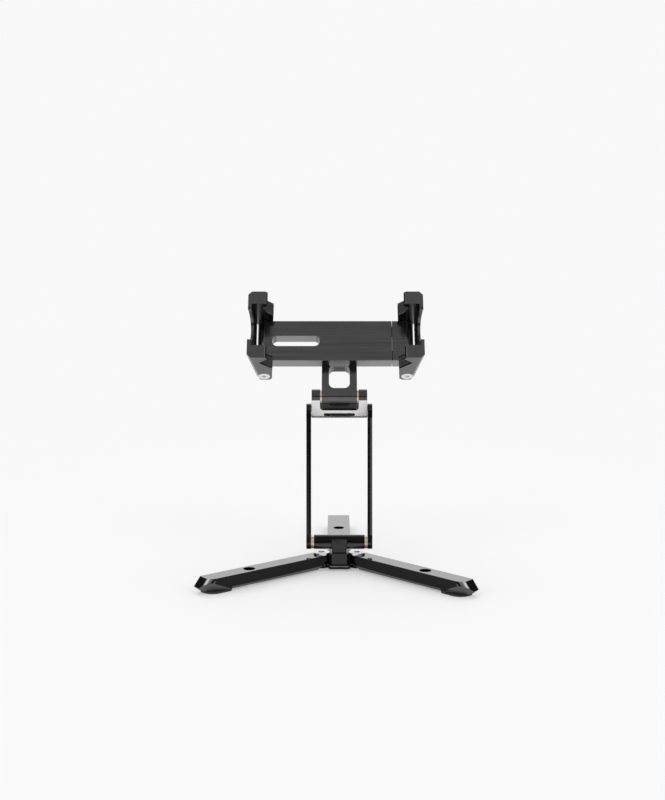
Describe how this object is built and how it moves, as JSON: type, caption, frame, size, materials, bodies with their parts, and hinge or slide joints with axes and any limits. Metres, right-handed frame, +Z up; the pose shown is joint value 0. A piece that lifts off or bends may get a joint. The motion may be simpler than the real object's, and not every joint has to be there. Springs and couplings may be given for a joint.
{
  "type": "folding tablet stand",
  "caption": "Folding metal table stand: a sprung edge clamp for a phone or tablet on a tilting knuckle and hinged arm, over a base with swing-out legs.",
  "frame": {"origin": "on the table, under the middle of the lower hinge", "axes": "+Z up, -Y towards the user, +X to the user's right, along the clamp"},
  "size_m": [0.224, 0.2203, 0.232],
  "materials": {
    "black_aluminium": "black anodised, satin",
    "steel_screws": "bright stainless",
    "brass_washers": "turned brass",
    "spring_steel": "drawn wire",
    "black_rubber": "matt moulded rubber"
  },
  "bodies": {
    "base": {"rear_leg": "black_aluminium", "rear_foot_pad": "black_rubber", "hub_post": "black_aluminium", "hub_screws": "steel_screws", "pivot_washers": "brass_washers", "left_pivot_screw": "steel_screws", "right_pivot_screw": "steel_screws"},
    "left_leg": {"left_leg": "black_aluminium", "left_foot_pad": "black_rubber"},
    "right_leg": {"right_leg": "black_aluminium", "right_foot_pad": "black_rubber"},
    "arm": {"left_arm_bar": "black_aluminium", "right_arm_bar": "black_aluminium", "lower_hinge_pin": "steel_screws", "lower_hinge_washers": "brass_washers", "lower_hinge_screws": "steel_screws", "upper_hinge_pin": "steel_screws", "upper_hinge_washers": "brass_washers", "upper_hinge_screws": "steel_screws"},
    "knuckle": {"knuckle_block": "black_aluminium", "tilt_pin": "steel_screws", "tilt_washers": "brass_washers", "tilt_screws": "steel_screws"},
    "head": {"tilt_bracket": "black_aluminium", "bracket_screws": "steel_screws", "clamp_body": "black_aluminium", "guide_bushes": "brass_washers", "return_springs": "spring_steel", "left_jaw_screws": "steel_screws", "left_jaw_washers": "brass_washers"},
    "left_jaw": {"left_jaw": "black_aluminium", "left_jaw_pads": "black_rubber"},
    "slider": {"slider_head": "black_aluminium", "guide_rods": "steel_screws", "rod_collars": "steel_screws", "right_jaw_screws": "steel_screws", "right_jaw_washers": "brass_washers"},
    "right_jaw": {"right_jaw": "black_aluminium", "right_jaw_pads": "black_rubber"}
  },
  "joints": [
    {"name": "left_leg_swing", "type": "hinge", "parent": "base", "child": "left_leg", "pos_m": [-0.0149, 0, 0.00725], "axis": [0, 0, 1], "range_deg": [-110, 33]},
    {"name": "right_leg_swing", "type": "hinge", "parent": "base", "child": "right_leg", "pos_m": [0.0149, 0, 0.00725], "axis": [0, 0, -1], "range_deg": [-115, 28]},
    {"name": "arm_fold", "type": "hinge", "parent": "base", "child": "arm", "pos_m": [0, 0, 0.0231], "axis": [1, 0, 0], "range_deg": [-80, 99]},
    {"name": "knuckle_fold", "type": "hinge", "parent": "arm", "child": "knuckle", "pos_m": [0, 0.01816, 0.13159], "axis": [-1, 0, 0], "range_deg": [-47, 132]},
    {"name": "head_tilt", "type": "hinge", "parent": "knuckle", "child": "head", "pos_m": [0, 0.00944, 0.14501], "axis": [-1, 0, 0], "range_deg": [-120, 22]},
    {"name": "left_jaw_fold", "type": "hinge", "parent": "head", "child": "left_jaw", "pos_m": [-0.0622, 0.02359, 0.18745], "axis": [0, 0.5592, 0.829], "range_deg": [0, 90]},
    {"name": "jaw_slide", "type": "slide", "parent": "head", "child": "slider", "axis": [1, 0, 0], "range_m": [0, 0.06], "stiffness_N_per_m": 150, "springref_m": -0.03, "deforming": ["return_springs"]},
    {"name": "right_jaw_fold", "type": "hinge", "parent": "slider", "child": "right_jaw", "pos_m": [0.056, 0.02359, 0.18745], "axis": [0, -0.5592, -0.829], "range_deg": [0, 90]}
  ]
}
